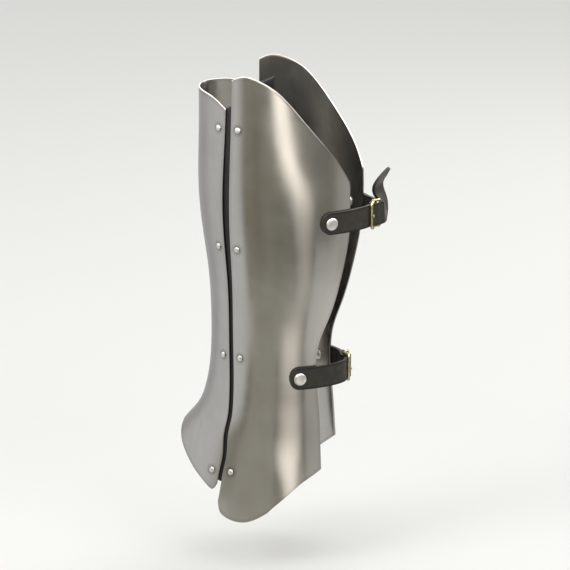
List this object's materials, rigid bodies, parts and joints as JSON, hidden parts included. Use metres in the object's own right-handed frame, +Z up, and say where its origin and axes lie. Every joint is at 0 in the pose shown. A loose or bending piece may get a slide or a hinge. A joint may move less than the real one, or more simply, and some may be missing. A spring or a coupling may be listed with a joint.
{
  "type": "greave",
  "caption": "Steel greave for a left shin: shin plate and side plates joined by riveted leather strips, closed behind the leg by buckled straps.",
  "frame": {"origin": "on the leg's axis, at the narrow level above the ankle", "axes": "+Z up the leg, -Y towards the shin, +X towards the leg's outer side"},
  "size_m": [0.1312, 0.1864, 0.4091],
  "materials": {
    "satin_steel": "satin polished sheet steel with fine scratches",
    "bright_steel": "bright polished steel rivets",
    "pale_brass": "pale cast brass, worn bright on its edges",
    "strap_leather": "dark brown waxed leather",
    "black_leather": "black matt leather"
  },
  "bodies": {
    "root": {"shin_plate": "satin_steel", "outer_plate": "satin_steel", "inner_plate": "satin_steel", "outer_hinge_leather": "black_leather", "inner_hinge_leather": "black_leather", "outer_rivet_front_1": "bright_steel", "outer_rivet_front_2": "bright_steel", "outer_rivet_front_3": "bright_steel", "outer_rivet_front_4": "bright_steel", "outer_rivet_side_1": "bright_steel", "outer_rivet_side_2": "bright_steel", "outer_rivet_side_3": "bright_steel", "outer_rivet_side_4": "bright_steel", "inner_rivet_front_1": "bright_steel", "inner_rivet_front_2": "bright_steel", "inner_rivet_front_3": "bright_steel", "inner_rivet_front_4": "bright_steel", "inner_rivet_side_1": "bright_steel", "inner_rivet_side_2": "bright_steel", "inner_rivet_side_3": "bright_steel", "inner_rivet_side_4": "bright_steel", "upper_strap": "strap_leather", "lower_strap": "strap_leather", "upper_chape": "strap_leather", "lower_chape": "strap_leather", "upper_buckle": "pale_brass", "lower_buckle": "pale_brass", "upper_tongue": "pale_brass", "lower_tongue": "pale_brass", "upper_strap_rivet": "bright_steel", "lower_strap_rivet": "bright_steel", "upper_chape_rivet": "bright_steel", "lower_chape_rivet": "bright_steel"}
  },
  "joints": []
}
